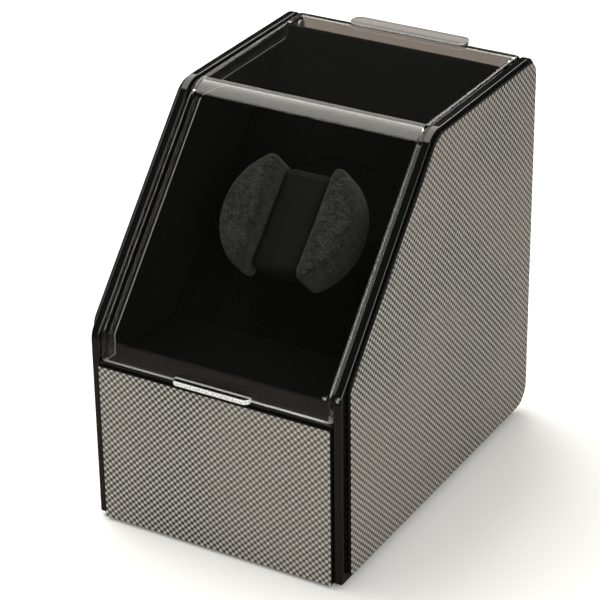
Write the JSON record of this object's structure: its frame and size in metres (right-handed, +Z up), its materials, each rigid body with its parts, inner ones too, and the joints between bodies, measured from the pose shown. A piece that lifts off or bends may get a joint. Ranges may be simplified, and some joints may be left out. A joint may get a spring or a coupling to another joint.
{
  "type": "watch winder box",
  "caption": "Slant-front box with a rear-hinged clear lid over a velvet panel, where a motor turns a lift-out felt watch cushion on a tilted axis.",
  "frame": {"origin": "under the middle of the object's box, on the surface the four feet stand on", "axes": "+Z up, the lid and the front board face -Y, +X is the right-hand side seen from the front"},
  "size_m": [0.127, 0.1826, 0.1818],
  "materials": {
    "gloss_black": "gloss lacquer",
    "carbon_laminate": "silver-grey woven pattern under a satin coat",
    "black_board": "black painted board",
    "batten_wood": "raw",
    "steel": "bright",
    "foot_rubber": "matt",
    "clear_acrylic": "clear polished sheet",
    "black_velvet": "short pile on board",
    "grey_felt": "speckled felt over foam",
    "black_plastic": "moulded",
    "bronze_bush": "plain bearing",
    "white_nylon": "moulded",
    "brass": "machined",
    "motor_steel": "zinc plated",
    "circuit_board": "solder mask",
    "lead_sheath": "matt sheath"
  },
  "bodies": {
    "case": {"left_side_panel": "gloss_black", "right_side_panel": "gloss_black", "front_board": "gloss_black", "left_side_laminate": "carbon_laminate", "right_side_laminate": "carbon_laminate", "front_laminate": "carbon_laminate", "base_board": "black_board", "back_board": "black_board", "left_batten": "batten_wood", "right_batten": "batten_wood", "back_screw_1": "steel", "back_screw_2": "steel", "back_screw_3": "steel", "back_screw_4": "steel", "bracket_screw_1": "steel", "bracket_screw_2": "steel", "bracket_screw_3": "steel", "foot_1": "foot_rubber", "foot_2": "foot_rubber", "foot_3": "foot_rubber", "foot_4": "foot_rubber", "left_lid_pin": "steel", "right_lid_pin": "steel", "display_panel": "black_velvet", "left_liner": "black_velvet", "right_liner": "black_velvet", "rotor_housing": "black_plastic", "front_bush": "bronze_bush", "rear_bush": "bronze_bush", "motor_bracket": "steel", "gearbox": "motor_steel", "motor_can": "motor_steel", "control_board": "circuit_board", "motor_lead": "lead_sheath", "power_lead": "lead_sheath", "switch_bezel": "black_plastic", "selector_body": "black_plastic", "power_jack": "black_plastic"},
    "lid": {"lid": "clear_acrylic"},
    "rotor": {"rotor_plate": "black_plastic", "rotor_velvet": "black_velvet", "rotor_shaft": "steel", "rotor_gear": "white_nylon"},
    "cushion": {"holder_core": "black_plastic", "left_felt_pad": "grey_felt", "right_felt_pad": "grey_felt"},
    "pinion": {"motor_pinion": "brass", "motor_shaft": "steel"},
    "rocker": {"switch_rocker": "black_plastic"},
    "selector": {"selector_knob": "black_plastic"}
  },
  "joints": [
    {"name": "lid_hinge", "type": "hinge", "parent": "case", "child": "lid", "pos_m": [0, 0.08045, 0.174], "axis": [-1, 0, 0], "range_deg": [0, 100]},
    {"name": "rotor_spin", "type": "hinge", "parent": "case", "child": "rotor", "pos_m": [0, 0.00325, 0.1075], "axis": [0, -0.7071, 0.7071], "continuous": true},
    {"name": "pinion_spin", "type": "hinge", "parent": "case", "child": "pinion", "pos_m": [0, -0.02221, 0.08204], "axis": [0, -0.7071, 0.7071], "continuous": true},
    {"name": "cushion_lift", "type": "slide", "parent": "rotor", "child": "cushion", "axis": [0, -0.7071, 0.7071], "range_m": [0, 0.01]},
    {"name": "switch_rock", "type": "hinge", "parent": "case", "child": "rocker", "pos_m": [0.03, 0.08235, 0.042], "axis": [1, 0, 0], "range_deg": [0, 16]},
    {"name": "selector_turn", "type": "hinge", "parent": "case", "child": "selector", "pos_m": [0, 0.08315, 0.042], "axis": [0, 1, 0], "range_deg": [-135, 135]}
  ],
  "couplings": [
    {"joint": "pinion_spin", "follows": "rotor_spin", "ratio": -5}
  ]
}
